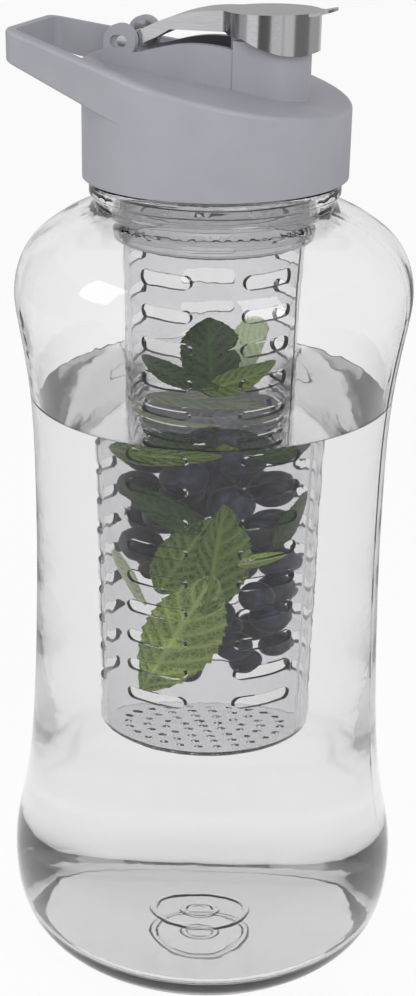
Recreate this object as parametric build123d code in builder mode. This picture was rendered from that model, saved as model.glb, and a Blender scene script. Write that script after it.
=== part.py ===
"""Fruit infuser water bottle: clear hourglass body, screw lid with a carry loop,
steel flip cap over the spout, and a slotted infuser hanging inside.

Millimetres. Origin on the bottle's axis at its foot, +Z up, the spout toward +X
and the carry loop toward -X.
"""
import os
from math import atan2, cos, degrees, hypot, pi, radians, sin, sqrt

from build123d import *

os.makedirs("parts", exist_ok=True)

# Bottle body
body_height = 254.8            # foot to the root of the neck
body_radius = 65.0             # widest place, low on the body
body_wall = 2.4
foot_radius = 44.0             # outer edge of the flat foot ring
foot_width = 5.0
body_height_shares = (0.008, 0.026, 0.051, 0.088, 0.135, 0.195, 0.255, 0.338, 0.447, 0.553, 0.655,
                      0.738, 0.801, 0.854, 0.895, 0.926, 0.952, 0.973, 0.988)
body_radius_shares = (0.805, 0.911, 0.968, 0.997, 0.998, 0.958, 0.917, 0.886, 0.866, 0.855, 0.854,
                      0.862, 0.885, 0.917, 0.934, 0.911, 0.853, 0.754, 0.643)
floor_height = 8.0             # inside floor above the foot
recess_height = 2.4            # underside of the base above the foot
recess_slope = 1.6
floor_ring_radii = (11.5, 4.0)  # low rings round the moulding mark, in the middle of the floor
floor_ring_section = 1.2       # radius of their round section, mostly sunk in the floor
floor_ring_sink = 0.7
end_pull_share = 0.6           # how strongly the body's curve keeps its direction at its ends

# Neck
neck_radius = 33.4
neck_wall = 2.4
neck_root_flare = 2.6          # neck's root wider than the neck
neck_throat_share = 0.45       # how far in from the root the throat turns upward
neck_rim_rounding = 0.5
bead_reach = 4.2               # bead beyond the neck
bead_gap = 2.0                 # plain neck between the shoulder and the bead
bead_height = 4.6
bead_rounding = 1.2
lid_seat_gap = 1.0             # bead to the underside of the lid

# Screw thread, right-handed
thread_pitch = 4.5
thread_height = 1.6            # how far the crest stands out
thread_root_width = 2.2
thread_crest_width = 1.1
thread_embed = 0.4             # root sunk into the wall
thread_start = 3.4             # above the bead
thread_end_gap = 5.6           # last turn's middle to the rim
liner_turns_share = 0.67       # of the neck's turns
thread_clearance = 0.4         # crest to the facing wall
thread_first_angle = 25.0      # where the ridges begin, off the spout's side

# Lid shell
lid_wall = 2.0
top_height_at_axis = 28.8      # sloped rim plane above the lid's underside, on the axis
top_slope = 0.211              # drop per millimetre toward the spout
floor_drop_at_axis = 1.1       # sunk floor below the rim plane, on the axis
floor_slope = 0.136
ceiling_drop_at_axis = 4.9     # hollow's ceiling below the rim plane, on the axis
ceiling_slope = 0.155
rim_rounding = 1.3

# Carry loop, part of the lid shell
loop_overhang = 21.2           # far end beyond the drum
loop_half_width = 19.1
loop_corner_radius = 6.0
loop_thickness = 3.2
loop_under_at_axis = 13.9      # loop's lower plane above the lid's underside, on the axis
loop_under_slope = 0.30
loop_rounding = 0.9

# Spout
spout_inset = 23.4             # spout's axis in from the drum's side
spout_radius = 11.6
spout_wall = 3.0
spout_height = 43.1            # above the lid's underside
spout_lip_rounding = 0.8
block_back = 7.8               # square back of the spout's column, behind the spout's axis
block_drop = 3.1               # square back below the spout's lip

# Hinge
hinge_inset = 13.9             # pin in from the drum's side, opposite the spout
hinge_drop = 9.3               # pin below the cap's top face
pin_radius = 1.6
ear_radius = 4.95
ear_lean = 0.5                 # ear centre behind the pin
cheek_inset = 0.4              # cheeks' outer faces behind the sides of the spout's column
cheek_thickness = 2.8
cheek_run_shares = (0.078, 0.177, 0.265, 0.456, 0.660, 0.863, 1.0)
cheek_height_shares = (0.924, 0.935, 0.953, 0.992, 1.008, 0.997, 0.979)
cheek_sink = 3.0               # cheeks carried below the floor
pocket_length = 1.7            # between the centres of the pocket's round ends
pocket_radius = 1.75
pocket_depth = 0.8

# Liner that carries the lid's thread
liner_lift = 0.5               # above the lid's underside
liner_top_gap = 0.3            # below the lowest place of the lid's ceiling
liner_wall = 2.15
liner_plate = 1.6
liner_shell_gap = 0.05
skirt_length = 10.6            # inner skirt that holds the infuser
skirt_clearance = 0.3
skirt_wall = 3.1
groove_depth = 1.2
groove_height = 1.7
groove_height_share = 0.3      # groove's height along the skirt
seal_clearance = 0.02

# Neck gasket
gasket_thickness = 1.4
gasket_gap = 0.05
gasket_side_gap = 0.3

# Steel flip cap
sheet = 0.8
cap_gap = 1.6                  # spout to the inside of the skirt
arm_side_gap = 0.4             # arm to each cheek
arm_overhang = 2.9             # side flanges behind the pin
arm_plate_gap = 2.3            # plate's end before the pin
arm_blend = 2.4                # hollow corner where the arm meets the round skirt
arm_bend_back = 13.2           # the arm bends down from here, behind the spout's axis
arm_drop = 7.7                 # arm's end below the plate
knuckle_radius = 3.7
knuckle_clearance = 0.08
cap_depth = 11.4               # deepest place of the skirt's wavy edge below the plate
cap_edge_run_shares = (0.073, 0.120, 0.170, 0.245, 0.549, 0.578, 0.664, 0.753, 0.864, 0.946, 1.014)
cap_edge_depth_shares = (0.939, 0.816, 0.711, 0.500, 0.500, 0.570, 0.588, 0.781, 0.947, 1.000, 0.947)
tab_root_radius = 10.0
tab_root = 2.4                 # tab's root circle before the spout's axis
tab_tip_radius = 5.4
tab_overhang = 5.0             # tab's tip beyond the skirt
tab_rise = 1.4

# Plug inside the cap
plug_height = 3.6
plug_gap = 0.1                 # plug to the spout's lip
plug_side_gap = 0.3
plug_boss_clearance = 0.3
plug_boss_taper = 1.0
plug_boss_depth = 2.6

# Infuser
collar_gap = 0.9               # collar to the neck's bore
collar_wall = 1.8
collar_height = 34.4
collar_top_gap = 0.8           # below the liner's plate
collar_groove_depth = 1.15
collar_groove_height = 1.5
ring_inset = 0.3               # ring's side behind the collar's
ring_height = 6.0
ring_rounding = 2.0
basket_step = 1.0              # basket's side behind the collar's bore
basket_taper = 2.6             # narrower at the floor
basket_length = 162.4          # collar's foot to the underside of the floor
basket_wall = 1.5
basket_floor = 2.0
basket_rounding = 3.0
tenon_height = 12.0            # part of the basket inside the collar
tenon_lift = 2.6
tenon_wall = 1.6
slot_columns = 5
slot_height = 4.2
slot_length = 17.4
slot_pitch = 10.4
slot_top_drop = 7.4            # first row below the collar's foot
slot_end_gap = 15.0            # no slot nearer to the floor than this
slot_first_angle = -32.0
hole_radius = 1.1
hole_rings = 4
hole_ring_step = 4.6
holes_per_ring_step = 6

# Heights that follow from the sizes above
bead_bottom = body_height + bead_gap
bead_top = bead_bottom + bead_height
lid_bottom = bead_top + lid_seat_gap
rim_height = lid_bottom + top_height_at_axis
sunk_height = rim_height - floor_drop_at_axis
ceiling_height = rim_height - ceiling_drop_at_axis
under_height = lid_bottom + loop_under_at_axis
spout_top = lid_bottom + spout_height
plug_bottom = spout_top + plug_gap
plate_top = plug_bottom + plug_height + sheet
hinge_z = plate_top - hinge_drop

# Radii and places that follow
neck_bore_radius = neck_radius - neck_wall
neck_root_radius = neck_radius + neck_root_flare
bead_radius = neck_radius + bead_reach
liner_bore_radius = neck_radius + thread_height + thread_clearance
liner_radius = liner_bore_radius + liner_wall
lid_inner_radius = liner_radius + liner_shell_gap
lid_radius = lid_inner_radius + lid_wall
loop_reach = lid_radius + loop_overhang
spout_x = lid_radius - spout_inset
hinge_x = hinge_inset - lid_radius
cheek_outer = spout_radius - cheek_inset
spout_bore_radius = spout_radius - spout_wall
cap_radius = spout_radius + cap_gap + sheet
arm_half_width = cheek_outer - cheek_thickness - arm_side_gap
collar_radius = neck_bore_radius - collar_gap
collar_bore_radius = collar_radius - collar_wall
skirt_radius = collar_bore_radius - skirt_clearance
ear_x = hinge_x - ear_lean
block_back_x = spout_x - block_back

# Liner, rim of the neck and infuser, from the lid's ceiling down
liner_bottom = lid_bottom + liner_lift
liner_top = ceiling_height - ceiling_slope * lid_inner_radius - liner_top_gap
liner_ceiling = liner_top - liner_plate
neck_top = liner_ceiling - gasket_thickness - gasket_gap
thread_turns = (neck_top - bead_top - thread_start - thread_end_gap) / thread_pitch
skirt_bottom = liner_ceiling - skirt_length
groove_middle = skirt_bottom + skirt_length * groove_height_share
collar_top = liner_ceiling - collar_top_gap
collar_foot = collar_top - collar_height
basket_bottom = collar_foot - basket_length
slot_rows = 1 + int((basket_length - slot_top_drop - slot_end_gap) / slot_pitch)
tall = spout_height + lid_radius    # cutters and blanks that only have to be big enough
wide = 4 * loop_reach


def inset(points, distance):
    """Points moved square to their own line, toward its left-hand side."""
    moved = []
    for i, (r, z) in enumerate(points):
        r0, z0 = points[max(i - 1, 0)]
        r1, z1 = points[min(i + 1, len(points) - 1)]
        length = hypot(r1 - r0, z1 - z0)
        moved.append((r - distance * (z1 - z0) / length, z + distance * (r1 - r0) / length))
    return moved


def sloped(height, slope):
    """Plane through the axis at a height, dropping toward the spout."""
    return Plane(origin=(0, 0, height), x_dir=(1, 0, -slope), z_dir=(slope, 0, 1))


def side_plane(y):
    """Upright plane facing -Y, drawn in X and Z."""
    return Plane(origin=(0, y, 0), x_dir=(1, 0, 0), z_dir=(0, -1, 0))


def thread_ridge(radius, start_height, turns, height, outward):
    """One helical ridge of trapezoid section on a wall of the given radius."""
    side = 1 if outward else -1
    path = Helix(pitch=thread_pitch, height=turns * thread_pitch, radius=radius)
    path = path.moved(Location((0, 0, start_height)))
    crest = thread_crest_width / 2
    root = crest + (thread_root_width / 2 - crest) * (1 + thread_embed / height)
    with BuildPart() as ridge:
        with BuildLine():
            add(path)
        with BuildSketch(Plane(path @ 0, x_dir=(side, 0, 0), z_dir=path % 0)):
            with BuildLine():
                Polyline((-thread_embed, -root), (height, -crest), (height, crest),
                         (-thread_embed, root), close=True)
            make_face()
        sweep(path=path, is_frenet=True)
    return ridge.part.rotate(Axis.Z, thread_first_angle)


# Bottle body with its neck, turned in one piece
outline = [(foot_radius, 0)]
outline += [(body_radius * r, body_height * z)
            for r, z in zip(body_radius_shares, body_height_shares)]
outline += [(neck_root_radius, body_height)]
inside = inset(outline, body_wall)
foot_inner_radius = foot_radius - foot_width
throat_radius = neck_root_radius - (neck_root_radius - neck_bore_radius) * neck_throat_share
inner_line = [(foot_radius, floor_height)] + inside[3:-1]
inner_line += [(throat_radius - body_wall, body_height),
               (neck_bore_radius, bead_bottom + bead_height / 2)]

with BuildPart() as bottle_body:
    with BuildSketch(Plane.XZ):
        with BuildLine():
            Spline(*outline, tangents=((1, 0), (0, 1)), tangent_scalars=(end_pull_share, end_pull_share))
            Line((neck_root_radius, body_height), (neck_root_radius, bead_bottom))
            Line((neck_root_radius, bead_bottom), (neck_radius, bead_bottom))
            Line((neck_radius, bead_bottom), (neck_radius, neck_top))
            Line((neck_radius, neck_top), (neck_bore_radius, neck_top))
            Line((neck_bore_radius, neck_top), inner_line[-1])
            Spline(*inner_line, tangents=((1, 0), (0, 1)), tangent_scalars=(end_pull_share, end_pull_share))
            Line(inner_line[0], (0, floor_height))
            Line((0, floor_height), (0, recess_height))
            Line((0, recess_height), (foot_inner_radius - recess_slope, recess_height))
            Line((foot_inner_radius - recess_slope, recess_height), (foot_inner_radius, 0))
            Line((foot_inner_radius, 0), outline[0])
        make_face()
    revolve(axis=Axis.Z)
    fillet(bottle_body.edges().filter_by(GeomType.CIRCLE).group_by(Axis.Z)[-1], neck_rim_rounding)
    with BuildSketch(Plane.XY.offset(bead_bottom)):
        Circle(bead_radius)
        Circle(neck_radius - thread_embed, mode=Mode.SUBTRACT)
    extrude(amount=bead_height)
    fillet(bottle_body.edges().filter_by(GeomType.CIRCLE).filter_by(
        lambda e: bead_radius - bead_rounding < e.radius < bead_radius + bead_rounding), bead_rounding)
    with BuildSketch(Plane.XZ):
        with Locations(*[(r, floor_height - floor_ring_sink) for r in floor_ring_radii]):
            Circle(floor_ring_section)
    revolve(axis=Axis.Z)
    add(thread_ridge(neck_radius, bead_top + thread_start, thread_turns, thread_height, True))
bottle_body.part.label = "bottle_body"
export_step(bottle_body.part, "parts/bottle_body.step")


def rounded_loop(radius, reach, half_width, corner):
    """Teardrop: hull of a circle on the axis and two round corners at the far end."""
    with BuildSketch() as shape:
        Circle(radius)
        with Locations((corner - reach, half_width - corner), (corner - reach, corner - half_width)):
            Circle(corner)
        make_hull()
    return shape.sketch


# Lid shell: drum, carry loop, spout, cheeks and ears
with BuildPart() as loop_blank:
    with BuildSketch(Plane.XY.offset(lid_bottom)):
        add(rounded_loop(lid_radius, loop_reach, loop_half_width, loop_corner_radius))
    extrude(amount=tall)
    with BuildSketch(sloped(under_height, loop_under_slope)):
        Rectangle(wide, wide)
    extrude(amount=-tall, mode=Mode.SUBTRACT)
    fillet(loop_blank.faces().sort_by(Axis.Z)[0].outer_wire().edges(), loop_rounding)

# One cheek with its ear; the other is its mirror image
cheek_run = block_back_x - hinge_x
hinge_height = hinge_z - lid_bottom
line = [(hinge_x + cheek_run * x, lid_bottom + hinge_height * h)
        for x, h in zip(cheek_run_shares, cheek_height_shares)]
root_z = sunk_height - cheek_sink
ear_back_x = ear_x - ear_radius
with BuildPart() as cheek:
    with BuildSketch(side_plane(-cheek_outer)):
        with BuildLine():
            Spline(*line)
            Polyline(line[-1], (line[-1][0], root_z), (ear_back_x, root_z - floor_slope * ear_back_x),
                     (ear_back_x, hinge_z), (ear_x, hinge_z), line[0])
        make_face()
        with Locations((ear_x, hinge_z)):
            Circle(ear_radius)
    extrude(amount=-cheek_thickness)

with BuildPart() as lid_shell:
    with BuildSketch(Plane.XY.offset(lid_bottom)):
        Circle(lid_radius)
    extrude(amount=tall)
    add(loop_blank.part)
    with BuildSketch(sloped(rim_height, top_slope)):
        Rectangle(wide, wide)
    extrude(amount=tall, mode=Mode.SUBTRACT)
    # the hand hole between the loop and the drum
    with BuildSketch(Plane.XY.offset(lid_bottom)):
        add(rounded_loop(lid_radius - loop_thickness, loop_reach - loop_thickness,
                         loop_half_width - loop_thickness, loop_corner_radius - loop_thickness))
        Circle(lid_radius, mode=Mode.SUBTRACT)
    extrude(amount=tall, mode=Mode.SUBTRACT)
    top_face = lid_shell.faces().filter_by(
        lambda f: f.geom_type == GeomType.PLANE and f.normal_at().Z > top_slope).sort_by(SortBy.AREA)[-1]
    fillet(top_face.outer_wire().edges(), rim_rounding)
    # sunk floor inside the rim
    with BuildSketch(sloped(sunk_height, floor_slope)) as sunk:
        add(rounded_loop(lid_radius - loop_thickness, loop_reach - loop_thickness,
                         loop_half_width - loop_thickness, loop_corner_radius - loop_thickness))
    extrude(amount=tall, mode=Mode.SUBTRACT)
    # hollow under the top
    with BuildSketch(Plane.XY.offset(lid_bottom)):
        Circle(lid_inner_radius)
    hollow = extrude(amount=tall, mode=Mode.PRIVATE)
    with BuildSketch(sloped(ceiling_height, ceiling_slope)):
        Rectangle(wide, wide)
    above = extrude(amount=tall, mode=Mode.PRIVATE)
    add(hollow - above, mode=Mode.SUBTRACT)
    # spout, its column square at the back
    with BuildSketch(Plane.XY.offset(liner_top)):
        with Locations((spout_x, 0)):
            Circle(spout_radius)
    extrude(amount=spout_top - liner_top)
    fillet(lid_shell.edges().filter_by(GeomType.CIRCLE).group_by(Axis.Z)[-1], spout_lip_rounding)
    with BuildSketch(Plane.XY.offset(ceiling_height)):
        with Locations((spout_x, 0)):
            Circle(spout_radius)
        with Locations((spout_x - block_back / 2, 0)):
            Rectangle(block_back, 2 * spout_radius)
    extrude(amount=spout_top - block_drop - ceiling_height)
    add(cheek.part)
    mirror(cheek.part, about=Plane.XZ)
    # bores: spout, pin, and the pocket round each pin end
    with BuildSketch(Plane.XY.offset(lid_bottom)):
        with Locations((spout_x, 0)):
            Circle(spout_bore_radius)
    extrude(amount=tall, mode=Mode.SUBTRACT)
    with BuildSketch(side_plane(-cheek_outer)):
        with Locations((hinge_x, hinge_z)):
            Circle(pin_radius)
    extrude(amount=-2 * cheek_outer, mode=Mode.SUBTRACT)
    for y in (-cheek_outer, cheek_outer - pocket_depth):
        with BuildSketch(side_plane(y)):
            with Locations((hinge_x - pocket_length / 2, hinge_z)):
                SlotCenterToCenter(pocket_length, 2 * pocket_radius)
        extrude(amount=-pocket_depth, mode=Mode.SUBTRACT)
lid_shell.part.label = "lid_shell"
export_step(lid_shell.part, "parts/lid_shell.step")

# Threaded liner inside the shell
with BuildPart() as lid_liner:
    with BuildSketch(Plane.XY.offset(liner_bottom)):
        Circle(liner_radius)
    extrude(amount=liner_top - liner_bottom)
    with BuildSketch(Plane.XY.offset(liner_bottom)):
        Circle(liner_bore_radius)
    extrude(amount=liner_ceiling - liner_bottom, mode=Mode.SUBTRACT)
    with BuildSketch(Plane.XY.offset(skirt_bottom)):
        Circle(skirt_radius)
        Circle(skirt_radius - skirt_wall, mode=Mode.SUBTRACT)
    extrude(amount=liner_ceiling - skirt_bottom)
    with BuildSketch(Plane.XY.offset(groove_middle - groove_height / 2)):
        Circle(collar_bore_radius)
        Circle(skirt_radius - groove_depth, mode=Mode.SUBTRACT)
    extrude(amount=groove_height, mode=Mode.SUBTRACT)
    with BuildSketch(Plane.XY.offset(liner_ceiling)):
        with Locations((spout_x, 0)):
            Circle(spout_bore_radius)
    extrude(amount=liner_plate, mode=Mode.SUBTRACT)
    add(thread_ridge(liner_bore_radius, bead_top + thread_start + thread_pitch / 2,
                     thread_turns * liner_turns_share, thread_height, False))
lid_liner.part.label = "lid_liner"
export_step(lid_liner.part, "parts/lid_liner.step")

# Gasket that the lid presses on the rim
with BuildPart() as neck_gasket:
    with BuildSketch(Plane.XY.offset(neck_top + gasket_gap)):
        Circle(liner_bore_radius - gasket_side_gap)
        Circle(collar_radius + gasket_side_gap, mode=Mode.SUBTRACT)
    extrude(amount=liner_ceiling - neck_top - gasket_gap)
neck_gasket.part.label = "neck_gasket"
export_step(neck_gasket.part, "parts/neck_gasket.step")

# Seal ring on the liner's skirt
seal_inner = skirt_radius - groove_depth
seal_outer = collar_bore_radius - seal_clearance
seal_thick = (seal_outer - seal_inner) / 2
with BuildPart() as infuser_seal:
    with BuildSketch(Plane.XZ):
        with Locations(((seal_outer + seal_inner) / 2, groove_middle)):
            Circle(seal_thick)
    revolve(axis=Axis.Z)
infuser_seal.part.label = "infuser_seal"
export_step(infuser_seal.part, "parts/infuser_seal.step")


# Steel flip cap: pressed plate, skirt and side flanges in one sheet
arm_end_x = hinge_x - arm_overhang
arm_plate_end_x = hinge_x + arm_plate_gap
arm_bend_x = spout_x - arm_bend_back
tab_bend_x = spout_x + cap_radius
tab_reach = tab_bend_x + tab_overhang
arm_run = arm_bend_x - arm_plate_end_x
arm_bend_radius = (arm_run ** 2 + arm_drop ** 2) / (2 * arm_drop)
bend_center = (arm_bend_x, plate_top - arm_bend_radius)
arm_end_angle = atan2(plate_top - arm_drop - bend_center[1], arm_plate_end_x - arm_bend_x)
inner_bend = arm_bend_radius - sheet
middle_angle = (arm_end_angle + pi / 2) / 2
cap_run = spout_x + cap_radius - hinge_x
edge = [(hinge_x + cap_run * x, plate_top - cap_depth * d)
        for x, d in zip(cap_edge_run_shares, cap_edge_depth_shares)]


def cap_plan(inset_by):
    """Outline of the skirt and arm seen from above."""
    with BuildSketch() as plan:
        with Locations((spout_x, 0)):
            Circle(cap_radius - inset_by)
        with Locations(((arm_end_x + spout_x) / 2, 0)):
            Rectangle(spout_x - arm_end_x, 2 * (arm_half_width - inset_by))
        fillet(plan.vertices().group_by(Axis.X)[1], arm_blend + inset_by)
    return plan.sketch


def on_bend(radius, angle):
    return (bend_center[0] + radius * cos(angle), bend_center[1] + radius * sin(angle))


with BuildPart() as flip_cap:
    # the sheet seen from the side, cut to the plan with its thumb tab
    with BuildSketch(side_plane(-cap_radius)):
        with BuildLine():
            ThreePointArc(on_bend(arm_bend_radius, arm_end_angle), on_bend(arm_bend_radius, middle_angle),
                          (arm_bend_x, plate_top))
            Polyline((arm_bend_x, plate_top), (tab_bend_x, plate_top),
                     (tab_reach + sheet, plate_top + tab_rise),
                     (tab_reach + sheet, plate_top + tab_rise - sheet),
                     (tab_bend_x, plate_top - sheet), (arm_bend_x, plate_top - sheet))
            ThreePointArc((arm_bend_x, plate_top - sheet), on_bend(inner_bend, middle_angle),
                          on_bend(inner_bend, arm_end_angle))
            Line(on_bend(inner_bend, arm_end_angle), on_bend(arm_bend_radius, arm_end_angle))
        make_face()
    plate = extrude(amount=-2 * cap_radius, mode=Mode.PRIVATE)
    with BuildSketch(Plane.XY.offset(lid_bottom)):
        with Locations((spout_x + tab_root, 0)):
            Circle(tab_root_radius)
        with Locations((tab_reach - tab_tip_radius, 0)):
            Circle(tab_tip_radius)
        make_hull()
        add(cap_plan(0))
    stencil = extrude(amount=tall, mode=Mode.PRIVATE)
    add(plate & stencil)
    # skirt and flanges: a wall along the plan, cut to its side view
    with BuildSketch(side_plane(-cap_radius)):
        with BuildLine():
            Polyline(*edge)
            Line(edge[-1], (edge[-1][0], plate_top - sheet))
            Line((edge[-1][0], plate_top - sheet), (arm_bend_x, plate_top - sheet))
            ThreePointArc((arm_bend_x, plate_top - sheet), on_bend(inner_bend, middle_angle),
                          on_bend(inner_bend, arm_end_angle))
            Line(on_bend(inner_bend, arm_end_angle), edge[0])
        make_face()
        with Locations((hinge_x, hinge_z)):
            Circle(knuckle_radius)
    side_view = extrude(amount=-2 * cap_radius, mode=Mode.PRIVATE)
    with BuildSketch(Plane.XY.offset(lid_bottom)):
        add(cap_plan(0))
        add(cap_plan(sheet), mode=Mode.SUBTRACT)
        with Locations((arm_end_x, 0)):
            Rectangle(2 * knuckle_radius, 2 * (arm_half_width - sheet), mode=Mode.SUBTRACT)
    wall = extrude(amount=tall, mode=Mode.PRIVATE)
    add(wall & side_view)
    with BuildSketch(side_plane(-arm_half_width)):
        with Locations((hinge_x, hinge_z)):
            Circle(pin_radius + knuckle_clearance)
    extrude(amount=-2 * arm_half_width, mode=Mode.SUBTRACT)
flip_cap.part.label = "flip_cap"
export_step(flip_cap.part, "parts/flip_cap.step")

# Hinge pin
pin_length = 2 * (cheek_outer - pocket_depth)
with BuildPart() as hinge_pin:
    with BuildSketch(side_plane(-pin_length / 2)):
        with Locations((hinge_x, hinge_z)):
            Circle(pin_radius)
    extrude(amount=-pin_length)
hinge_pin.part.label = "hinge_pin"
export_step(hinge_pin.part, "parts/hinge_pin.step")

# Plug that closes the spout
with BuildPart() as cap_plug:
    with BuildSketch(Plane.XY.offset(plug_bottom)):
        with Locations((spout_x, 0)):
            Circle(cap_radius - sheet - plug_side_gap)
    extrude(amount=plate_top - sheet - plug_bottom)
    with BuildSketch(Plane.XY.offset(plug_bottom)):
        with Locations((spout_x, 0)):
            Circle(spout_bore_radius - plug_boss_clearance)
    taper = degrees(atan2(plug_boss_taper, plug_boss_depth))
    extrude(amount=-plug_boss_depth, taper=taper)
cap_plug.part.label = "cap_plug"
export_step(cap_plug.part, "parts/cap_plug.step")

# Collar of the infuser, with the thick ring at its foot
ring_top = collar_foot + ring_height
groove_radius = collar_radius - collar_groove_depth
with BuildPart() as infuser_collar:
    with BuildSketch(Plane.XY.offset(collar_foot)):
        Circle(collar_radius - ring_inset)
    extrude(amount=ring_height)
    fillet(infuser_collar.edges().filter_by(GeomType.CIRCLE), ring_rounding)
    with BuildSketch(Plane.XY.offset(ring_top)):
        Circle(groove_radius)
    extrude(amount=collar_groove_height)
    with BuildSketch(Plane.XY.offset(ring_top + collar_groove_height)):
        Circle(collar_radius)
    extrude(amount=collar_top - ring_top - collar_groove_height)
    with BuildSketch(Plane.XY.offset(ring_top - ring_rounding)):
        Circle(groove_radius)
    extrude(amount=ring_rounding)
    with BuildSketch(Plane.XY.offset(collar_foot)):
        Circle(collar_bore_radius)
    extrude(amount=tall, mode=Mode.SUBTRACT)
infuser_collar.part.label = "infuser_collar"
export_step(infuser_collar.part, "parts/infuser_collar.step")

# Slotted basket with its pierced floor
tenon_bottom = collar_foot + tenon_lift
basket_top = tenon_bottom + tenon_height
basket_top_radius = collar_bore_radius - basket_step
basket_bottom_radius = basket_top_radius - basket_taper
with BuildPart() as infuser_basket:
    with BuildSketch(Plane.XZ):
        with BuildLine():
            Polyline((0, basket_bottom), (basket_bottom_radius, basket_bottom),
                     (basket_top_radius, tenon_bottom), (collar_bore_radius, tenon_bottom),
                     (collar_bore_radius, basket_top), (0, basket_top), close=True)
        make_face()
    revolve(axis=Axis.Z)
    fillet(infuser_basket.edges().filter_by(GeomType.CIRCLE).sort_by(Axis.Z)[0], basket_rounding)
    with BuildSketch(Plane.XZ):
        with BuildLine():
            Polyline((0, basket_bottom + basket_floor),
                     (basket_bottom_radius - basket_wall, basket_bottom + basket_floor),
                     (basket_top_radius - basket_wall, tenon_bottom),
                     (collar_bore_radius - tenon_wall, basket_top), (0, basket_top), close=True)
        make_face()
    revolve(axis=Axis.Z, mode=Mode.SUBTRACT)
    for column in range(slot_columns):
        angle = radians(slot_first_angle + 360 / slot_columns * column)
        facing = Plane(origin=(0, 0, collar_foot - slot_top_drop), x_dir=(-sin(angle), cos(angle), 0),
                       z_dir=(cos(angle), sin(angle), 0))
        with BuildSketch(facing):
            with Locations(*[(0, -slot_pitch * row) for row in range(slot_rows)]):
                SlotOverall(slot_length, slot_height)
        extrude(amount=basket_top_radius, mode=Mode.SUBTRACT)
    with BuildSketch(Plane.XY.offset(basket_bottom)):
        Circle(hole_radius)
        for ring in range(1, hole_rings + 1):
            with PolarLocations(hole_ring_step * ring, holes_per_ring_step * ring):
                Circle(hole_radius)
    extrude(amount=basket_floor, mode=Mode.SUBTRACT)
infuser_basket.part.label = "infuser_basket"
export_step(infuser_basket.part, "parts/infuser_basket.step")
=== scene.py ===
# %% [markdown]
# # A fruit infuser water bottle
# The bottle's rigid pieces come from its CAD model, in metres, standing on its foot with the axis along +Z and
# the spout toward +X. This lesson gives them their finishes, and adds what the CAD model leaves out: the water,
# the blueberries and the mint leaves. The frame is loaded first, because every new piece takes its place from it.

import math

import bpy
from mathutils import Euler, Matrix, Vector


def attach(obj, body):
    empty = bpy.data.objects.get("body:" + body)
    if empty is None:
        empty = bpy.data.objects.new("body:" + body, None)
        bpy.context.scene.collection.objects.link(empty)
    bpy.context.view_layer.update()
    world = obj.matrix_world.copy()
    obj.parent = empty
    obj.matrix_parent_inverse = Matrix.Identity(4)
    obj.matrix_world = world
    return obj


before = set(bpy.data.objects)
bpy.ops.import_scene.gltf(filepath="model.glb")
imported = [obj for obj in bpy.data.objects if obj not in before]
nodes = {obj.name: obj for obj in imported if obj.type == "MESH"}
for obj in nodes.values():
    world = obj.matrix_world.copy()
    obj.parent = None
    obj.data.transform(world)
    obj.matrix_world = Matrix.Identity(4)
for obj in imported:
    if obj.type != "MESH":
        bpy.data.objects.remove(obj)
scene = bpy.context.scene
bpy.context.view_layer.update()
MM = 0.001

# %% [markdown]
# ## Working by hand, in code
# An operator acts on everything that is selected, and loading leaves the CAD pieces selected. So each step
# begins by letting go of everything and picking one piece.

# %% Picking helpers
def let_go():
    if bpy.context.object and bpy.context.object.mode != "OBJECT":
        bpy.ops.object.mode_set(mode="OBJECT")
    bpy.ops.object.select_all(action="DESELECT")


def pick(piece):
    let_go()
    piece.select_set(True)
    bpy.context.view_layer.objects.active = piece


def settle(piece):
    """Puts the piece's place into its mesh, as a CAD piece has it."""
    pick(piece)
    bpy.ops.object.transform_apply(location=True, rotation=True, scale=True)


print("CAD pieces to dress", sorted(nodes))

# %% [markdown]
# ### Colours
# A shader counts colours in linear light, which is not how a screen counts them. Colours that were judged on a
# screen are changed by the usual formula. Plain greys are given as the shader counts them.

# %% Colour helpers
def colour(red, green, blue):
    """A colour as read off a screen, 0 to 255, made linear for the shader."""
    linear = [((c / 255 + 0.055) / 1.055) ** 2.4 if c > 10 else c / 255 / 12.92 for c in (red, green, blue)]
    return (*linear, 1.0)


def grey(level, blue=None):
    """A grey as the shader counts it, 0 to 1, or a cooler one with a blue of its own."""
    return level, level, level if blue is None else blue, 1.0


print("a mid grey on a screen is", round(colour(128, 128, 128)[0], 3), "to the shader")

# %% [markdown]
# ## The camera
# The photograph was taken from a little above, close by, and is a part cut from the right of a larger picture.
# The camera stands where the lid's and the base's ellipses say it stood. The cut is given by the lens shift.

# %% Camera
IMAGE_WIDTH, IMAGE_HEIGHT = 416, 996
FOCAL_PIXELS = 1762.4
AXIS_PIXEL = (100.0, 573.5)      # where the middle of the larger picture lies in this cut
EYE = (0.1676, -0.5004, 0.3734)
HEADING, PITCH, ROLL = math.radians(22.33), math.radians(24.66), math.radians(-0.41)

camera_data = bpy.data.cameras.new("photo_camera")
camera = bpy.data.objects.new("photo_camera", camera_data)
scene.collection.objects.link(camera)
camera_data.sensor_width = 36.0
camera_data.lens = camera_data.sensor_width * FOCAL_PIXELS / IMAGE_HEIGHT
camera_data.shift_x = (IMAGE_WIDTH / 2 - AXIS_PIXEL[0]) / IMAGE_HEIGHT
camera_data.shift_y = (AXIS_PIXEL[1] - IMAGE_HEIGHT / 2) / IMAGE_HEIGHT
camera_data.clip_start, camera_data.clip_end = 0.01, 20.0
camera.matrix_world = (Matrix.Translation(EYE) @ Matrix.Rotation(HEADING, 4, "Z")
                       @ Matrix.Rotation(math.pi / 2 - PITCH, 4, "X") @ Matrix.Rotation(ROLL, 4, "Z"))
scene.camera = camera
print("camera at", tuple(round(v, 4) for v in camera.matrix_world.translation))

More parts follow.
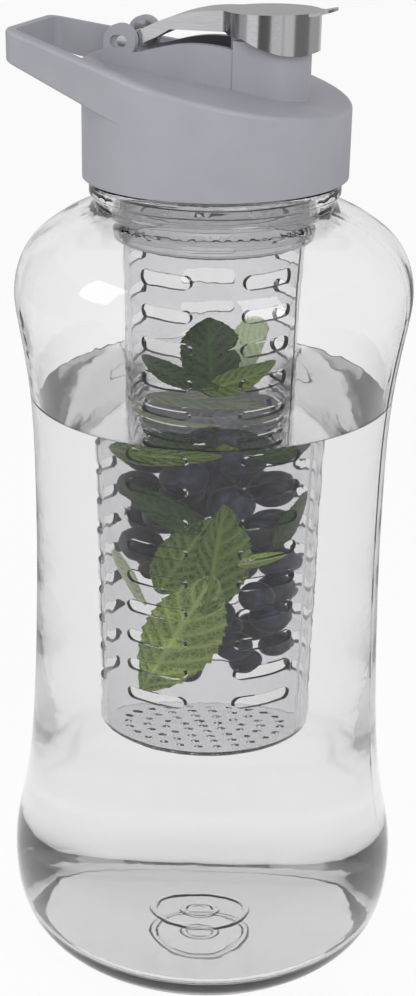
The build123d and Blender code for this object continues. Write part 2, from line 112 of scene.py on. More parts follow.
# %% [markdown]
# ## Nodes in a few words
# A finish is a net of small nodes: some read the place on the surface, some calculate, and a shader ends it. Most
# of the lines that build one only add a node and link it. These helpers do that. Each takes numbers, which it
# sets on the node's sockets, or the outputs of other nodes, which it links.

# %% Node helpers
def feed(tree, socket, value):
    """Links another node's output to the socket, or sets a plain value on it."""
    if isinstance(value, bpy.types.NodeSocket):
        tree.links.new(value, socket)
    else:
        socket.default_value = value


def operate(tree, kind, operation, values):
    node = tree.nodes.new(kind)
    node.operation = operation
    for socket, value in zip(node.inputs, values):
        feed(tree, socket, value)
    return node.outputs


def calc(tree, operation, *values):
    return operate(tree, "ShaderNodeMath", operation, values)["Value"]


def vector_calc(tree, operation, *values):
    return operate(tree, "ShaderNodeVectorMath", operation, values)


def soft_step(tree, value, start, end, low=0.0, high=1.0):
    """Goes softly from low to high while the value goes from start to end."""
    node = tree.nodes.new("ShaderNodeMapRange")
    node.interpolation_type = "SMOOTHSTEP"
    settings = {"Value": value, "From Min": start, "From Max": end, "To Min": low, "To Max": high}
    for label, setting in settings.items():
        feed(tree, node.inputs[label], setting)
    return node.outputs["Result"]


def place_on(tree):
    """The outputs that tell where on the piece a point is, and which way its surface faces."""
    return tree.nodes.new("ShaderNodeTexCoord").outputs


def split(tree, vector):
    node = tree.nodes.new("ShaderNodeSeparateXYZ")
    tree.links.new(vector, node.inputs["Vector"])
    return node.outputs


def mix_shaders(tree, share, first, second):
    """Only the first shader at share 0, and only the second at share 1."""
    node = tree.nodes.new("ShaderNodeMixShader")
    for socket, output in zip(node.inputs, (share, first, second)):
        tree.links.new(output, socket)
    return node.outputs["Shader"]


print("node helpers ready")

# %% [markdown]
# ## Effects that several finishes share
# Moulded plastic has a fine grain and a faint cloudiness, and worked steel has lines along it. Each is a node
# group with named inputs, built once. A group gives out values only, and the shader stays in the material.

# %% Shared effect groups
def new_group(name, inputs, outputs):
    group = bpy.data.node_groups.new(name, "ShaderNodeTree")
    for label, value in inputs.items():
        socket = group.interface.new_socket(name=label, in_out="INPUT", socket_type="NodeSocketFloat")
        socket.default_value = value
    for label in outputs:
        group.interface.new_socket(name=label, in_out="OUTPUT", socket_type="NodeSocketFloat")
    return group, group.nodes.new("NodeGroupInput").outputs, group.nodes.new("NodeGroupOutput").inputs


def noise(tree, scale, detail, place=None):
    node = tree.nodes.new("ShaderNodeTexNoise")
    feed(tree, node.inputs["Scale"], scale)
    node.inputs["Detail"].default_value = detail
    tree.links.new(place_on(tree)["Object"] if place is None else place, node.inputs["Vector"])
    return node.outputs["Fac"]


grain, given, result = new_group("moulded_grain", {"Fineness": 900.0, "Cloud Size": 40.0}, ["Height", "Cloud"])
grain.links.new(noise(grain, given["Fineness"], 3.0), result["Height"])
grain.links.new(noise(grain, given["Cloud Size"], 4.0), result["Cloud"])

lines, given, result = new_group("brushed_lines", {"Fineness": 2500.0}, ["Height"])
stretch = lines.nodes.new("ShaderNodeMapping")
stretch.inputs["Scale"].default_value = (0.04, 1.0, 1.0)
lines.links.new(place_on(lines)["Object"], stretch.inputs["Vector"])
lines.links.new(noise(lines, given["Fineness"], 2.0, stretch.outputs["Vector"]), result["Height"])
print("groups", [g.name for g in bpy.data.node_groups])

# %% [markdown]
# ## Opaque finishes
# The lid is a cool light grey plastic with a soft shine, the cap is polished steel, and the seals are pale
# silicone. Each starts from the same recipe: a colour that the cloud shades a little, and a bump from the grain.

# %% Opaque finishes
def start_material(name):
    material = bpy.data.materials.new(name)
    material.use_nodes = True
    tree = material.node_tree
    return material, tree, tree.nodes["Principled BSDF"]


def add_bump(tree, shader, height, strength, distance):
    bump = tree.nodes.new("ShaderNodeBump")
    bump.inputs["Strength"].default_value = strength
    bump.inputs["Distance"].default_value = distance
    tree.links.new(height, bump.inputs["Height"])
    tree.links.new(bump.outputs["Normal"], shader.inputs["Normal"])


def shade_between(tree, factor, dark, light, target, low=0.35, high=0.65):
    ramp = tree.nodes.new("ShaderNodeValToRGB")
    ramp.color_ramp.elements[0].position, ramp.color_ramp.elements[1].position = low, high
    ramp.color_ramp.elements[0].color, ramp.color_ramp.elements[1].color = dark, light
    tree.links.new(factor, ramp.inputs["Fac"])
    tree.links.new(ramp.outputs["Color"], target)


def use_group(tree, group, **values):
    node = tree.nodes.new("ShaderNodeGroup")
    node.node_tree = group
    for label, value in values.items():
        node.inputs[label.replace("_", " ")].default_value = value
    return node.outputs


def set_shader(shader, settings):
    for label, value in settings.items():
        shader.inputs[label].default_value = value


def plastic(name, dark, light, roughness, bump):
    material, tree, shader = start_material(name)
    effect = use_group(tree, grain, Fineness=1100.0, Cloud_Size=35.0)
    shade_between(tree, effect["Cloud"], dark, light, shader.inputs["Base Color"])
    add_bump(tree, shader, effect["Height"], bump, 0.0002)
    set_shader(shader, {"Roughness": roughness})
    return material


lid_grey = plastic("lid_grey_plastic", colour(155, 155, 162), colour(163, 163, 170), 0.45, 0.25)
liner_grey = plastic("liner_plastic", colour(166, 167, 172), colour(174, 174, 180), 0.38, 0.15)
silicone = plastic("pale_silicone", colour(214, 214, 212), colour(222, 222, 220), 0.55, 0.10)
plug_rubber = plastic("plug_rubber", colour(72, 72, 76), colour(80, 80, 84), 0.60, 0.20)

steel, tree, shader = start_material("polished_steel")
set_shader(shader, {"Metallic": 1.0, "Roughness": 0.14})
brushed = use_group(tree, lines, Fineness=5200.0)["Height"]
shade_between(tree, brushed, colour(193, 193, 194), colour(204, 204, 205), shader.inputs["Base Color"])
add_bump(tree, shader, brushed, 0.05, 0.00002)
print("opaque finishes", [m.name for m in (lid_grey, liner_grey, silicone, plug_rubber, steel)])

# %% [markdown]
# ## Clear finishes
# The bottle is clear plastic, the infuser is faintly smoky, and the water fills both. Light bends at each
# surface. A thick wall seen along its length looks greyer, so the plastic also absorbs a little on the way
# through. Shadows pass straight through, which keeps the fruit inside evenly lit.

# %% Clear finishes
def clear(name, tint, ior, roughness, absorb, density, shine, shadow=0.9):
    """absorb and density dim light on its way through, shadow is the share that a shadow lets by."""
    material, tree, shader = start_material(name)
    set_shader(shader, {"Base Color": tint, "Transmission Weight": 1.0, "IOR": ior, "Roughness": roughness,
                        "Specular Tint": grey(2 * shine)})
    through = tree.nodes.new("ShaderNodeBsdfTransparent")
    through.inputs["Color"].default_value = grey(shadow)
    path = tree.nodes.new("ShaderNodeLightPath")
    surface = mix_shaders(tree, path.outputs["Is Shadow Ray"], shader.outputs["BSDF"], through.outputs["BSDF"])
    volume = tree.nodes.new("ShaderNodeVolumeAbsorption")
    volume.inputs["Color"].default_value = absorb
    volume.inputs["Density"].default_value = density
    out = tree.nodes["Material Output"]
    tree.links.new(surface, out.inputs["Surface"])
    tree.links.new(volume.outputs["Volume"], out.inputs["Volume"])
    return material


SMOKE = grey(0.97, 0.975)
bottle_clear = clear("clear_bottle_plastic", grey(0.985), 1.45, 0.0, grey(0.5), 24.0, shine=0.45)
infuser_smoke = clear("smoky_infuser_plastic", SMOKE, 1.30, 0.0, grey(0.5, 0.52), 170.0, shine=0.15)
# The collar's smoke is darker partly for its thickness and partly as painted shade on its rim.
collar_smoke_and_shade = clear("smoky_collar_plastic_and_shade", grey(0.90, 0.905), 1.45, 0.02, grey(0.5, 0.52), 190.0, shine=0.45)
water_clear = clear("still_water", grey(1.0), 1.333, 0.0, grey(0.5), 1.4, shine=0.2, shadow=0.98)

# A blown wall is never quite even, which bends reflections a little.
tree = bottle_clear.node_tree
add_bump(tree, tree.nodes["Principled BSDF"], noise(tree, 55.0, 1.0), 1.0, 0.00018)
print("clear finishes", [m.name for m in (bottle_clear, infuser_smoke, collar_smoke_and_shade, water_clear)])

# %% [markdown]
# ### Painted shade on the cut edges of the slots
# Light that enters a wall through a cut edge runs along inside it, so a cut edge looks dark, and that shade is
# painted into the basket's colour. A face of the basket that points out from the axis stays clear. The faces of
# the slots do not point that way, and are painted dark, all but a slot's upper face, which looks down and catches
# the light of the table, so it is painted nearly clear. Where a leaf lies against the wall it fills the slots with
# its own green, so there the edges stay clear too. The holes in the basket's floor lie below the height at which
# the painted shade begins.

# %% Painted shade on the cut edges
# places on the wall that the two large leaves cover, and how far from one the painted shade on the edges is left
# out and is full, in metres
LEAF_SPOTS = ((-0.005, -0.0245, 0.115), (0.003, -0.0245, 0.132), (0.010, -0.0225, 0.143), (0.012, -0.0220, 0.158))
LEAF_CLEAR, LEAF_DARK = 0.010, 0.0145

painted_edge_shade, given, result = new_group("cut_edge_painted_shade", {"Soft Low": 0.55, "Soft High": 0.75, "From Height": 0.088},
                                    ["Mask"])
place = place_on(painted_edge_shade)
level = vector_calc(painted_edge_shade, "MULTIPLY", place["Object"], (1.0, 1.0, 0.0))
outward = vector_calc(painted_edge_shade, "NORMALIZE", level["Vector"])
facing = vector_calc(painted_edge_shade, "DOT_PRODUCT", outward["Vector"], place["Normal"])
sideways = soft_step(painted_edge_shade, calc(painted_edge_shade, "ABSOLUTE", facing["Value"]), given["Soft Low"],
                     given["Soft High"], 1.0, 0.0)
above_floor = calc(painted_edge_shade, "GREATER_THAN", split(painted_edge_shade, place["Object"])["Z"], given["From Height"])
not_upper = soft_step(painted_edge_shade, split(painted_edge_shade, place["Normal"])["Z"], -0.8, -0.1, 0.15)

distances = [vector_calc(painted_edge_shade, "DISTANCE", place["Object"], spot)["Value"] for spot in LEAF_SPOTS]
nearest = distances[0]
for distance in distances[1:]:
    nearest = calc(painted_edge_shade, "MINIMUM", nearest, distance)
off_leaf = soft_step(painted_edge_shade, nearest, LEAF_CLEAR, LEAF_DARK)

# the share of painted shade at each point of the basket
painted_shade_share = sideways
for share in (above_floor, not_upper, off_leaf):
    painted_shade_share = calc(painted_edge_shade, "MULTIPLY", painted_shade_share, share)
painted_edge_shade.links.new(painted_shade_share, result["Mask"])

# The mask paints shade into the basket's colour, nearly black on the cut edges.
tree = infuser_smoke.node_tree
shade_between(tree, use_group(tree, painted_edge_shade)["Mask"], SMOKE, grey(0.03, 0.035),
              tree.nodes["Principled BSDF"].inputs["Base Color"], 0.0, 1.0)
print("cut edge mask has", len(painted_edge_shade.nodes), "nodes")

# %% [markdown]
# ### Which piece has which finish
# The CAD pieces have their shapes already, so they only get new materials. The infuser's collar is thicker than
# its basket and looks darker and shinier, so it has a smoke of its own, darker partly for its thickness and partly
# as painted shade.

# %% Finishes on the CAD pieces
finishes = {
    "bottle_body": bottle_clear, "lid_shell": lid_grey, "lid_liner": liner_grey, "neck_gasket": silicone,
    "infuser_seal": silicone, "flip_cap": steel, "hinge_pin": steel, "cap_plug": plug_rubber,
    "infuser_collar": collar_smoke_and_shade, "infuser_basket": infuser_smoke,
}
for name, finish in finishes.items():
    nodes[name].data.materials.clear()
    nodes[name].data.materials.append(finish)
print("finished", sorted(finishes))

# %% [markdown]
# ## The water
# Water takes the shape of what holds it. It is built ring by ring: a round base, drawn up and widened to follow
# the wall, which is felt for with rays at each height. It reaches half-way into the wall, so that no film of
# air is left between them, which would shine like a mirror. Its flat top stops 195 mm above the foot.

# %% Water
WATER_FOOT = [(44.0, 6.4), (52.0, 6.8), (58.0, 9.2)]      # the round base, as (radius, height) in mm
WALL_FROM, WATER_TOP = 13.0, 195.2                        # heights between which it follows the wall, in mm
WALL_RINGS = 60
bottle = nodes["bottle_body"]


def wall_at(height):
    """Radii of the bottle's inside and outside at a height, in mm."""
    outside = bottle.ray_cast(Vector((200 * MM, 0, height * MM)), Vector((-1, 0, 0)))
    inside = bottle.ray_cast(Vector((0, 0, height * MM)), Vector((1, 0, 0)))
    return inside[1].x / MM, outside[1].x / MM


def draw_up(name, line):
    """A round solid from (radius, height) pairs in mm, drawn up ring by ring."""
    let_go()
    (radius, height), rest = line[0], line[1:]
    bpy.ops.mesh.primitive_circle_add(vertices=144, radius=radius * MM, location=(0, 0, height * MM),
                                      fill_type="NGON")
    piece = bpy.context.object
    piece.name = piece.data.name = name
    settle(piece)
    bpy.ops.object.mode_set(mode="EDIT")
    bpy.ops.mesh.select_all(action="SELECT")
    for new_radius, new_height in rest:
        bpy.ops.mesh.extrude_region_move(
            TRANSFORM_OT_translate={"value": (0, 0, (new_height - height) * MM)})
        share = new_radius / radius
        bpy.ops.transform.resize(value=(share, share, 1), center_override=(0, 0, new_height * MM))
        radius, height = new_radius, new_height
    bpy.ops.mesh.select_all(action="SELECT")
    bpy.ops.mesh.normals_make_consistent(inside=False)
    bpy.ops.object.mode_set(mode="OBJECT")
    bpy.ops.object.shade_smooth_by_angle(angle=math.radians(40))
    return piece


water_line = list(WATER_FOOT)
for ring in range(WALL_RINGS):
    height = WALL_FROM + (WATER_TOP - WALL_FROM) * ring / (WALL_RINGS - 1)
    water_line.append((sum(wall_at(height)) / 2, height))
water = draw_up("water", water_line)
water.data.materials.append(water_clear)
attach(water, "bottle")
print("water rings", len(water_line), "widest", round(max(r for r, _ in water_line), 1))

# %% [markdown]
# ## Blueberries
# A blueberry is a slightly flattened ball with a small open crown. One is modelled with care: the faces round
# the top pole are inset and pushed in, and the rim is pulled out into a star with five points. The others are
# copies of different sizes, turned every way, and pushed apart until they only press into each other a little.

# %% Blueberry material
def berry_skin(name, dark, light):
    material, tree, shader = start_material(name)
    effect = use_group(tree, grain, Fineness=420.0, Cloud_Size=400.0)
    shade_between(tree, effect["Cloud"], dark, light, shader.inputs["Base Color"], 0.42, 0.70)
    add_bump(tree, shader, effect["Height"], 0.25, 0.0004)
    set_shader(shader, {"Roughness": 0.5, "Specular IOR Level": 0.25})
    return material


blue_skin = berry_skin("blueberry_skin", colour(4, 4, 10), colour(54, 57, 86))
brown_skin = berry_skin("unripe_berry_skin", colour(44, 26, 24), colour(84, 54, 50))
print("berry skins", blue_skin.name, brown_skin.name)

# %% [markdown]
# ### One berry
# The ball is added at unit size, so that a copy's scale is its radius. Insets with a depth raise the crown's
# collar and then sink its middle. The star and the flattening move single points, which no operator does well.

# %% Blueberry model
CROWN_FROM = 0.93       # faces whose middles lie above this become the crown, on a ball of radius 1
CROWN_POINTS = 5
FLATTEN = 0.9


def model_berry():
    let_go()
    bpy.ops.mesh.primitive_uv_sphere_add(segments=20, ring_count=14, radius=1.0)
    berry = bpy.context.object
    mesh = berry.data
    for polygon in mesh.polygons:
        polygon.select = polygon.center.z > CROWN_FROM
    for edge in mesh.edges:
        edge.select = False
    bpy.ops.object.mode_set(mode="EDIT")
    bpy.ops.mesh.select_mode(type="FACE")
    for thickness, depth in ((0.05, 0.10), (0.07, -0.20), (0.04, -0.05)):
        bpy.ops.mesh.inset(thickness=thickness, depth=depth)
    bpy.ops.object.mode_set(mode="OBJECT")
    for vertex in mesh.vertices:
        on_rim = vertex.co.z > 1.0 and math.hypot(vertex.co.x, vertex.co.y) > 0.2
        if on_rim:
            star = 0.5 + 0.5 * math.cos(CROWN_POINTS * math.atan2(vertex.co.y, vertex.co.x))
            vertex.co.x *= 1.0 + 0.35 * star
            vertex.co.y *= 1.0 + 0.35 * star
            vertex.co.z += 0.05 * star
        vertex.co.z *= FLATTEN
    settle(berry)
    round_off = berry.modifiers.new("round_off", "SUBSURF")
    round_off.levels = round_off.render_levels = 1
    bpy.ops.object.modifier_apply(modifier=round_off.name)
    bpy.ops.object.shade_smooth()
    return berry


first_berry = model_berry()
print("one berry has", len(first_berry.data.polygons), "faces")

# %% [markdown]
# ### Where the berries lie
# A dozen berries can be placed from the photograph. Each is given by its side of the basket, its height, its
# distance from the axis and its radius, and more fill the back. Real berries settle against each other and the
# wall. Two hundred rounds of small pushes do the same: berries that are too near go apart, and none leaves the
# basket.

# %% Berry places
BASKET_ROOM = 23.2        # mm from the axis, as far out as a berry may reach
BERRIES_TOP = 191.0       # mm, just under the water
CONTACT = 0.94            # ripe berries press into each other a little
PUSHES = 200
FACING = -71.5            # degrees, the side of the bottle that the camera looks at
# side from the camera's, height, distance from the axis and radius, in degrees and mm
berries = [
    (12, 181, 15, 8.4), (-62, 178, 16, 7.6), (66, 176, 16, 7.6), (-26, 178, 14, 7.8), (42, 179, 14, 7.0),
    (-110, 178, 15, 7.6), (110, 178, 14, 7.6), (155, 178, 14, 7.4), (-155, 178, 14, 7.4), (0, 178, 0, 7.2),
    (-70, 157, 17, 7.2), (-36, 165, 15, 7.6), (22, 165, 17, 7.8), (60, 161, 17, 7.6), (-8, 165, 13, 7.6),
    (95, 161, 16, 7.4), (135, 164, 15, 7.4), (-115, 163, 15, 7.4), (180, 164, 14, 7.4), (44, 151, 13, 6.8),
    (-88, 169, 14, 6.6), (0, 166, 2, 7.0), (90, 170, 4, 6.6), (-20, 153, 2, 6.6), (-60, 162, 5, 6.4),
    (-47, 143.6, 19.6, 3.7), (10, 150, 12, 6.4), (-24, 148, 10, 6.4), (120, 148, 14, 6.6), (-100, 147, 14, 6.4),
    (160, 149, 12, 6.4), (84, 146, 16, 6.2),
    (45, 137, 18, 5.8), (66, 128, 17, 6.6), (95, 130, 16, 6.4), (20, 134, 14, 6.2), (40, 124, 12, 6.2),
    (22, 120, 18, 6.0), (78, 117, 16, 5.4), (-2, 119, 16, 5.6), (46, 112, 14, 5.2), (-14, 112, 17, 5.2),
    (110, 118, 12, 5.8), (0, 131, 4, 6.4),
]
centres = []
for side, height, away, radius in berries:
    turn = math.radians(FACING + side)
    centres.append([Vector((away * math.cos(turn), away * math.sin(turn), height)), radius])
for _ in range(PUSHES):
    for number, (one, size) in enumerate(centres):
        for other, other_size in centres[number + 1:]:
            apart = other - one
            short = CONTACT * (size + other_size) - apart.length
            if short > 0:
                push = apart.normalized() * short / 2
                one -= push
                other += push
    for one, size in centres:
        reach = math.hypot(one.x, one.y)
        room = BASKET_ROOM - size
        if reach > room:
            one.x, one.y = one.x * room / reach, one.y * room / reach
        one.z = min(one.z, BERRIES_TOP - size)
print("lowest berry", round(min(c.z - r for c, r in centres), 1), "mm")

# %% [markdown]
# ### Copies of the berry
# Each copy gets a mesh of its own, turned so that no two crowns point the same way. The small brown one in front
# is an unripe berry.

# %% Berry copies
UNRIPE_BELOW = 4.5        # mm, the radius under which a berry is an unripe one
for number, (centre, size) in enumerate(centres):
    name = f"blueberry_{number + 1:02d}"
    piece = bpy.data.objects.new(name, first_berry.data.copy())
    piece.data.name = name
    scene.collection.objects.link(piece)
    turn = Euler((1.9 * number + 0.6, 0.8 * number, 2.3 * number)).to_matrix().to_4x4()
    piece.data.transform(Matrix.Translation(centre * MM) @ turn @ Matrix.Scale(size * MM, 4))
    piece.data.materials.append(brown_skin if size < UNRIPE_BELOW else blue_skin)
    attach(piece, "infuser")
bpy.data.objects.remove(first_berry)
print("blueberries", len(centres))

# %% [markdown]
# ## Mint leaves
# A mint leaf is an oval with small teeth along its edge, a sunken midrib and skin that swells between the side
# veins. The skin comes first. The veins run on the leaf's own map: one midrib, eight pairs of side veins, and a
# fine net between them. Along a vein the green is lighter.

# %% Mint material
SIDE_VEINS = 8.0          # pairs of side veins along a leaf
VEIN_SLANT = 1.7          # how far a side vein runs towards the tip on its way out, in spaces between veins


def mint_skin(name, dark, light, vein):
    material, tree, shader = start_material(name)
    uv = tree.nodes.new("ShaderNodeUVMap")
    uv.uv_map = "leaf_map"
    spot = split(tree, uv.outputs["UV"])
    across = calc(tree, "ABSOLUTE", calc(tree, "SUBTRACT", spot["Y"], 0.5))
    along = calc(tree, "SUBTRACT", calc(tree, "MULTIPLY", spot["X"], SIDE_VEINS),
                 calc(tree, "MULTIPLY", across, 2 * VEIN_SLANT))
    wave = calc(tree, "ABSOLUTE", calc(tree, "SINE", calc(tree, "MULTIPLY", along, math.pi)))
    side_vein = calc(tree, "POWER", wave, 0.5)
    midrib = calc(tree, "SMOOTH_MIN", calc(tree, "MULTIPLY", across, 18.0), 1.0, 0.2)
    net = tree.nodes.new("ShaderNodeTexVoronoi")
    net.feature = "DISTANCE_TO_EDGE"
    net.inputs["Scale"].default_value = 620.0
    tree.links.new(place_on(tree)["Object"], net.inputs["Vector"])
    from_net = calc(tree, "MULTIPLY", net.outputs["Distance"], 5.0)
    fine_vein = calc(tree, "MINIMUM", calc(tree, "ADD", from_net, 0.3), 1.0)
    blade = calc(tree, "MULTIPLY", calc(tree, "MULTIPLY", side_vein, midrib), fine_vein)

    patches = use_group(tree, grain, Fineness=700.0, Cloud_Size=150.0)["Cloud"]
    blend = tree.nodes.new("ShaderNodeMix")
    blend.data_type = "RGBA"
    blend.inputs["A"].default_value = vein
    shade_between(tree, patches, dark, light, blend.inputs["B"], 0.3, 0.7)
    tree.links.new(blade, blend.inputs["Factor"])
    tree.links.new(blend.outputs["Result"], shader.inputs["Base Color"])
    add_bump(tree, shader, blade, 0.5, 0.0005)
    set_shader(shader, {"Roughness": 0.5, "Specular IOR Level": 0.2})
    return material


# The skins differ in the leaves' own green, and the darkest one is also painted shade, for leaves that lie in
# shadow.
mint_light = mint_skin("mint_light", colour(74, 98, 20), colour(104, 126, 42), colour(160, 178, 104))
mint_mid = mint_skin("mint_mid", colour(36, 62, 8), colour(66, 94, 22), colour(112, 134, 60))
mint_dark_and_shaded = mint_skin("mint_dark_and_shaded", colour(8, 24, 3), colour(28, 52, 10), colour(52, 78, 24))
mint_pale = mint_skin("mint_pale", colour(140, 160, 110), colour(176, 190, 150), colour(196, 206, 176))
print("mint skins", [m.name for m in (mint_light, mint_mid, mint_dark_and_shaded, mint_pale)])

# %% [markdown]
# ### The leaf's shape
# A leaf starts as a fine grid. No operator gives a toothed edge and skin that swells between veins, so each point
# is moved by a formula: to the outline, then up or down by the veins, then on to the inside of the basket or to
# its place above the water. A modifier adds the thin wall last.

# %% Mint leaf model
TEETH, TOOTH_DEPTH = 14, 0.11        # along each edge, and as a share of the half width
SWELL = 0.75                         # mm, how high the skin stands between two veins
LEAF_WALL = 0.35                     # mm
GRID_ALONG, GRID_ACROSS = 88, 30


def leaf_point(along, side, length, width, fold, left, belly):
    """A point of a flat-laid leaf, along the midrib, across it and above it, in mm.

    along runs from 0 to 1 and side from -1 to 1. fold lifts the edges, left narrows the left half, and a larger
    belly moves the widest place towards the tip.
    """
    half = width / 2 * max(math.sin(math.pi * min(along, 0.999) ** belly), 0.0) ** 0.8 + 0.25
    tooth = ((along * TEETH + 0.3) % 1.0) ** 0.6
    half *= (1.0 - TOOTH_DEPTH * tooth * side ** 4) * (left if side > 0 else 1.0)
    swell = abs(math.sin(math.pi * (SIDE_VEINS * along - VEIN_SLANT * abs(side)))) ** 0.6
    edge = 1.0 - abs(side) ** 6
    rise = SWELL * swell * edge * min(1.0, 6.0 * abs(side)) + fold * abs(side) * half
    return along * length, side * half, rise


def model_leaf(name, length, width, fold, laid, skin, left=1.0, belly=0.78):
    """laid turns a leaf's own (along, across, above) into a place in the bottle, in mm."""
    let_go()
    bpy.ops.mesh.primitive_grid_add(x_subdivisions=GRID_ALONG, y_subdivisions=GRID_ACROSS, size=1.0)
    piece = bpy.context.object
    piece.name = piece.data.name = name
    piece.data.uv_layers[0].name = "leaf_map"
    for vertex in piece.data.vertices:
        flat = leaf_point(vertex.co.x + 0.5, vertex.co.y * 2.0, length, width, fold, left, belly)
        vertex.co = Vector(laid(*flat)) * MM
    wall = piece.modifiers.new("leaf_wall", "SOLIDIFY")
    wall.thickness = LEAF_WALL * MM
    wall.offset = 0.0
    pick(piece)
    bpy.ops.object.modifier_apply(modifier=wall.name)
    bpy.ops.object.shade_smooth()
    piece.data.materials.append(skin)
    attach(piece, "infuser")


print("a leaf's grid has", GRID_ALONG * GRID_ACROSS, "faces")

# %% [markdown]
# ### Laying a leaf
# A leaf is either pressed on the inside of the basket, which bends it round like a label, or set free in the air
# or on the water. Each helper gives back a small function that does this to one point of the leaf.

# %% Laying a leaf
def on_wall(side, height, lean, radius):
    """Lays a leaf on a cylinder inside the basket: its stem's side and height, and the way it points."""
    turn, start = math.radians(lean), math.radians(FACING + side)

    def place(along, across, above):
        around = along * math.cos(turn) - across * math.sin(turn)
        up = along * math.sin(turn) + across * math.cos(turn)
        angle, away = start + around / radius, radius - above
        return away * math.cos(angle), away * math.sin(angle), height + up
    return place


def set_free(stem, turns):
    """Sets a leaf at a stem place, in mm, turned about X, Y and Z by degrees."""
    matrix = Matrix.Translation(stem) @ Euler([math.radians(t) for t in turns]).to_matrix().to_4x4()

    def place(along, across, above):
        return matrix @ Vector((along, across, above))
    return place


print("a leaf half-way up the front starts at", [round(v, 1) for v in on_wall(0, 150, 90, 23.0)(0, 0, 0)])

# %% [markdown]
# ### Leaves under the water
# Seven leaves are pressed against the inside of the basket by the berries. Their stems' sides and heights, and
# the ways they point, come from the photograph. Two are large, light and near the front.

# %% Leaves under the water
model_leaf("mint_leaf_front", 48, 26, 0.10, on_wall(-44, 102, 66, 23.1), mint_light, 0.8, 1.0)
model_leaf("mint_leaf_middle", 37, 24, 0.22, on_wall(-1, 132.5, 83, 23.3), mint_mid, 0.4, 0.9)
model_leaf("mint_leaf_crossing", 29, 12, 0.10, on_wall(-2, 160, 157, 22.4), mint_dark_and_shaded, 0.7)
model_leaf("mint_leaf_behind", 30, 15, 0.10, on_wall(-34, 138, 62, 22.3), mint_mid)
model_leaf("mint_leaf_left", 21, 6, 0.50, on_wall(-84, 146, -40, 22.8), mint_pale)
model_leaf("mint_leaf_right", 21, 9, 0.15, on_wall(46, 153, 44, 23.2), mint_dark_and_shaded)
model_leaf("mint_leaf_low_right", 15, 4, 0.60, on_wall(20, 149, 2, 23.2), mint_light)
print("leaves on the wall done")

# %% [markdown]
# ### Leaves at and above the water
# Some leaves float flat on the water, and are seen edge-on through the side. A sprig stands above it: a dark
# upright leaf whose skin is also painted shade, one to each side that dips towards it, and a pale one behind.

# %% Leaves at and above the water
model_leaf("mint_leaf_waterline", 38, 7, 0.30, on_wall(-84, 182, 6, 23.6), mint_mid)
model_leaf("mint_leaf_waterline_right", 26, 6, 0.30, on_wall(28, 184.5, 2, 23.6), mint_dark_and_shaded)
model_leaf("mint_leaf_floating", 40, 15, 0.05, set_free((-18, -10, 193.0), (3, -2, 4)), mint_mid)
model_leaf("mint_leaf_top", 24, 25, 0.30, on_wall(2, 200, 94, 20.0), mint_dark_and_shaded, 1.0, 0.95)
model_leaf("mint_leaf_top_left", 29, 8, 0.25, on_wall(-65, 208.5, -9, 23.0), mint_dark_and_shaded, 0.8)
model_leaf("mint_leaf_top_right", 26, 9, 0.25, on_wall(-6, 203, 12, 22.6), mint_mid, 0.8)
model_leaf("mint_leaf_top_pale", 22, 16, 0.20, on_wall(16, 213, 6, 17.5), mint_pale)

# %% [markdown]
# ## Floor, background and light
# The bottle stands on a plain pale table before a plain white background. To the camera, and through glass and
# water, the floor is nearly white and keeps a trace of shadow, so its paint is a mix of a glow and a pale matt
# surface. Light Path says which kind of ray is asking. In reflections the floor's glow is a painted pool of light
# round the bottle's foot, dimmer away from it, or every reflection would be pale.

# %% Floor
GLOW_SHARES = {"Is Camera Ray": 0.9, "Is Transmission Ray": 0.8, "Is Glossy Ray": 0.85}
GLOW_POOL_EDGE = 0.12, 0.26      # metres from the bottle's axis, where the painted pool of light begins to dim and where it has dimmed

let_go()
bpy.ops.mesh.primitive_plane_add(size=14.0, location=(0, 0, -0.2 * MM))
floor = bpy.context.object
floor.name = floor.data.name = "floor"
floor_paint, tree, shader = start_material("pale_floor")
set_shader(shader, {"Base Color": grey(0.86), "Roughness": 0.8, "Specular IOR Level": 0.1})
path = tree.nodes.new("ShaderNodeLightPath").outputs
camera_share, glass_share, shine_share = (calc(tree, "MULTIPLY", path[ray], share)
                                          for ray, share in GLOW_SHARES.items())
share = calc(tree, "MAXIMUM", calc(tree, "MAXIMUM", camera_share, glass_share), shine_share)
from_foot = vector_calc(tree, "LENGTH", place_on(tree)["Object"])["Value"]
# the floor's painted pool of light: full glow near the foot, dimming farther out
glow_pool = soft_step(tree, from_foot, *GLOW_POOL_EDGE, 1.0, 0.35)
seen = calc(tree, "MAXIMUM", path["Is Camera Ray"], path["Is Transmission Ray"])
glow = tree.nodes.new("ShaderNodeEmission")
glow.inputs["Color"].default_value = grey(1.0)
tree.links.new(calc(tree, "MAXIMUM", seen, glow_pool), glow.inputs["Strength"])
tree.links.new(mix_shaders(tree, share, shader.outputs["BSDF"], glow.outputs["Emission"]),
               tree.nodes["Material Output"].inputs["Surface"])
floor.data.materials.append(floor_paint)
print("floor", [round(v, 1) for v in floor.dimensions])

# %% [markdown]
# ### The sky
# The camera sees plain white. Through glass the sky is nearly white up to half-way and greyer overhead, like a
# room with a dim ceiling, and that is what gives the clear walls their grey outlines. All else sees an even grey.

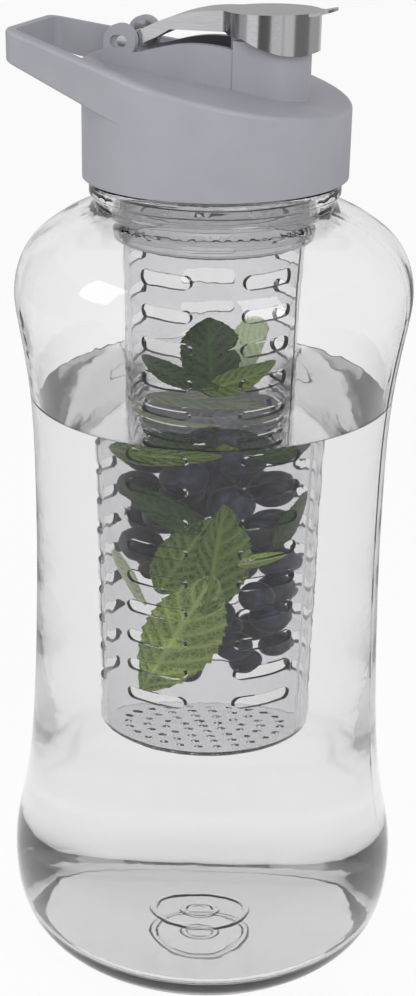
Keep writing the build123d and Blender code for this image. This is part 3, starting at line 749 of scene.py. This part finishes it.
# %% Sky
sky = bpy.data.worlds.new("studio")
scene.world = sky
sky.use_nodes = True
tree = sky.node_tree
tree.nodes.clear()
path = tree.nodes.new("ShaderNodeLightPath").outputs
plain, ceiling, room = (tree.nodes.new("ShaderNodeBackground") for _ in range(3))
plain.inputs["Color"].default_value = grey(1.0)
room.inputs["Color"].default_value = grey(0.58, 0.59)
height = split(tree, place_on(tree)["Generated"])["Z"]
shade_between(tree, height, grey(0.90), grey(0.70, 0.71), ceiling.inputs["Color"], 0.58, 0.90)
unseen = mix_shaders(tree, path["Is Transmission Ray"], room.outputs["Background"], ceiling.outputs["Background"])
whole = mix_shaders(tree, path["Is Camera Ray"], unseen, plain.outputs["Background"])
tree.links.new(whole, tree.nodes.new("ShaderNodeOutputWorld").inputs["Surface"])
print("sky nodes", len(tree.nodes))

# %% [markdown]
# ## Cards round the set
# Steel and glass show what stands round them. A photographer sets up white and dark cards, so that a steel
# skirt gets clear bright and dark bands. One tall ring stands for the cards. Its glow changes with the
# direction, and only reflections can see it.

# %% Ring of cards
# each stop says how far round the ring it is, and how bright
BANDS = [(0.0, 0.15), (0.06, 0.15), (0.075, 0.45), (0.125, 0.45), (0.137, 0.9), (0.205, 0.9), (0.215, 0.10),
         (0.285, 0.15), (0.30, 0.72), (0.363, 0.72), (0.371, 0.4), (0.379, 0.72), (0.44, 0.72), (0.455, 0.2),
         (0.55, 0.22), (0.58, 0.5), (0.68, 0.45), (0.71, 0.65), (0.765, 0.65), (0.775, 0.45), (0.83, 0.45),
         (0.84, 0.7), (0.90, 0.7), (0.92, 0.15), (1.0, 0.15)]

let_go()
bpy.ops.mesh.primitive_cylinder_add(vertices=96, radius=1.3, depth=0.9, end_fill_type="NOTHING",
                                    location=(0, 0, 0.46))
cards = bpy.context.object
cards.name = cards.data.name = "card_ring"
settle(cards)
card_paint = bpy.data.materials.new("card_ring_glow")
card_paint.use_nodes = True
tree = card_paint.node_tree
tree.nodes.clear()
around = tree.nodes.new("ShaderNodeTexGradient")
around.gradient_type = "RADIAL"
bands = tree.nodes.new("ShaderNodeValToRGB")
for _ in BANDS[2:]:
    bands.color_ramp.elements.new(0.5)
for element, (stop, light) in zip(bands.color_ramp.elements, BANDS):
    element.position = stop
    element.color = grey(light, light * 1.01)
glow, out = tree.nodes.new("ShaderNodeEmission"), tree.nodes.new("ShaderNodeOutputMaterial")
tree.links.new(place_on(tree)["Object"], around.inputs["Vector"])
tree.links.new(around.outputs["Fac"], bands.inputs["Fac"])
tree.links.new(bands.outputs["Color"], glow.inputs["Color"])
tree.links.new(glow.outputs["Emission"], out.inputs["Surface"])
cards.data.materials.append(card_paint)
cards.visible_camera = cards.visible_diffuse = cards.visible_transmission = False
cards.visible_shadow = cards.visible_volume_scatter = False
print("card ring with", len(BANDS), "stops")

# %% [markdown]
# ### Two lamps
# The photograph has hardly any shadow. Two broad lamps stand high on both sides of the camera, the right one a
# little stronger. They give highlights, but can't be seen through the glass, or their outlines would show in the
# base. Light is bent many times on its way through wall, water and wall, so many bounces are allowed.

# %% Lamps
LAMP_AIM = Vector((0, 0, 0.2))
BOUNCES = 24


def soft_lamp(name, place, power):
    lamp = bpy.data.lights.new(name, "AREA")
    lamp.shape = "RECTANGLE"
    lamp.size, lamp.size_y = 0.5, 0.9
    lamp.energy = power
    holder = bpy.data.objects.new(name, lamp)
    scene.collection.objects.link(holder)
    holder.location = place
    holder.rotation_euler = (LAMP_AIM - Vector(place)).to_track_quat("-Z", "Y").to_euler()
    holder.visible_transmission = False


soft_lamp("key_lamp", (0.9, -0.8, 0.8), 7.0)
soft_lamp("fill_lamp", (-1.0, -0.7, 0.8), 6.0)

scene.cycles.max_bounces = BOUNCES
scene.cycles.transmission_bounces = BOUNCES
scene.cycles.transparent_max_bounces = BOUNCES
scene.view_settings.view_transform = "Standard"
